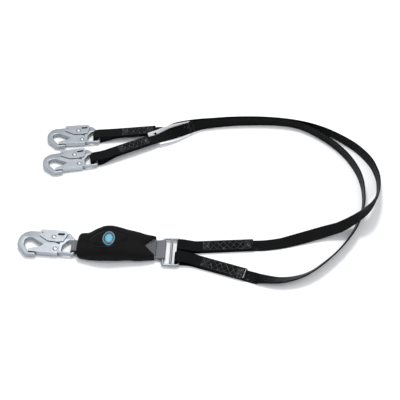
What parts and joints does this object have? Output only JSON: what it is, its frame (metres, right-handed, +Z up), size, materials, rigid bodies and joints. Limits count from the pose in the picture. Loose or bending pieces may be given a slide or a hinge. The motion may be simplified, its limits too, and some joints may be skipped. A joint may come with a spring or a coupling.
{
  "type": "shock absorbing lanyard",
  "caption": "Shock absorbing lanyard with a pouched tear webbing absorber, a connector ring, webbing legs and self-locking snap hooks.",
  "frame": {"origin": "on the bench, under the middle of the box that holds the hooks, the absorber and the sewn eyes", "axes": "+X from the hooks towards the far curve of the legs, +Z up from the bench, +Y from the absorber towards hooks 2 and 3"},
  "size_m": [0.7834, 0.487, 0.05],
  "materials": {
    "hook_steel": "zinc plated forged steel, satin",
    "bright_steel": "bright plated steel",
    "spring_steel": "bare spring wire",
    "black_webbing": "tightly woven polyester webbing",
    "grey_webbing": "woven tear webbing, matt",
    "black_cover": "coated woven nylon, soft sheen",
    "blue_badge": "moulded badge, satin",
    "white_label": "blank coated label",
    "black_thread": "heavy bonded sewing thread"
  },
  "bodies": {
    "legs": {"leg_a_strap": "black_webbing", "leg_a_ring_eye": "black_webbing", "leg_a_ring_stitching": "black_thread", "leg_a_hook_eye": "black_webbing", "leg_a_hook_stitching": "black_thread", "leg_b_strap": "black_webbing", "leg_b_ring_eye": "black_webbing", "leg_b_ring_stitching": "black_thread", "leg_b_hook_eye": "black_webbing", "leg_b_hook_stitching": "black_thread", "leg_b_label": "white_label"},
    "ring": {"connector_ring": "bright_steel"},
    "absorber": {"absorber_cover": "black_cover", "cover_panel": "black_cover", "cover_badge": "blue_badge", "tear_webbing_core": "grey_webbing", "tear_webbing_hook_loop": "grey_webbing", "tear_webbing_ring_loop": "grey_webbing"},
    "hook_1": {"hook_1_body": "hook_steel", "hook_1_gate_rivet": "bright_steel", "hook_1_lock_rivet": "bright_steel", "hook_1_gate_spring": "spring_steel", "hook_1_lock_spring": "spring_steel"},
    "gate_1": {"hook_1_gate": "hook_steel"},
    "lock_1": {"hook_1_lock_lever": "hook_steel"},
    "hook_2": {"hook_2_body": "hook_steel", "hook_2_gate_rivet": "bright_steel", "hook_2_lock_rivet": "bright_steel", "hook_2_gate_spring": "spring_steel", "hook_2_lock_spring": "spring_steel"},
    "gate_2": {"hook_2_gate": "hook_steel"},
    "lock_2": {"hook_2_lock_lever": "hook_steel"},
    "hook_3": {"hook_3_body": "hook_steel", "hook_3_gate_rivet": "bright_steel", "hook_3_lock_rivet": "bright_steel", "hook_3_gate_spring": "spring_steel", "hook_3_lock_spring": "spring_steel"},
    "gate_3": {"hook_3_gate": "hook_steel"},
    "lock_3": {"hook_3_lock_lever": "hook_steel"}
  },
  "joints": [
    {"name": "ring_on_legs", "type": "hinge", "parent": "legs", "child": "ring", "pos_m": [0.09168, -0.1565, 0.0057], "axis": [0.0436, 0.999, 0], "range_deg": [0, 60]},
    {"name": "absorber_on_ring", "type": "hinge", "parent": "ring", "child": "absorber", "pos_m": [0.05871, -0.15506, 0.0057], "axis": [0.0436, 0.999, 0], "range_deg": [0, 60]},
    {"name": "hook_1_swing", "type": "hinge", "parent": "absorber", "child": "hook_1", "pos_m": [-0.12605, -0.14549, 0.0077], "axis": [0.0698, 0.9976, 0], "range_deg": [0, 60]},
    {"name": "gate_1_pivot", "type": "hinge", "parent": "hook_1", "child": "gate_1", "pos_m": [-0.16506, -0.15208, 0.0077], "axis": [0, 0, -1], "range_deg": [0, 28], "stiffness_Nm_per_rad": 0.3, "springref_deg": -17.19},
    {"name": "lock_1_pivot", "type": "hinge", "parent": "hook_1", "child": "lock_1", "pos_m": [-0.17095, -0.1217, 0.0077], "axis": [0, 0, -1], "range_deg": [0, 5], "stiffness_Nm_per_rad": 0.3, "springref_deg": -17.19},
    {"name": "hook_2_swing", "type": "hinge", "parent": "legs", "child": "hook_2", "pos_m": [-0.10615, 0.19041, 0.0077], "axis": [-0.1167, 0.9932, 0], "range_deg": [0, 60]},
    {"name": "gate_2_pivot", "type": "hinge", "parent": "hook_2", "child": "gate_2", "pos_m": [-0.14325, 0.17669, 0.0077], "axis": [0, 0, -1], "range_deg": [0, 28], "stiffness_Nm_per_rad": 0.3, "springref_deg": -17.19},
    {"name": "lock_2_pivot", "type": "hinge", "parent": "hook_2", "child": "lock_2", "pos_m": [-0.15469, 0.20545, 0.0077], "axis": [0, 0, -1], "range_deg": [0, 5], "stiffness_Nm_per_rad": 0.3, "springref_deg": -17.19},
    {"name": "hook_3_swing", "type": "hinge", "parent": "legs", "child": "hook_3", "pos_m": [-0.10565, 0.11351, 0.0077], "axis": [-0.2062, 0.9785, 0], "range_deg": [0, 60]},
    {"name": "gate_3_pivot", "type": "hinge", "parent": "hook_3", "child": "gate_3", "pos_m": [-0.14136, 0.09648, 0.0077], "axis": [0, 0, -1], "range_deg": [0, 28], "stiffness_Nm_per_rad": 0.3, "springref_deg": -17.19},
    {"name": "lock_3_pivot", "type": "hinge", "parent": "hook_3", "child": "lock_3", "pos_m": [-0.15535, 0.12409, 0.0077], "axis": [0, 0, -1], "range_deg": [0, 5], "stiffness_Nm_per_rad": 0.3, "springref_deg": -17.19}
  ]
}
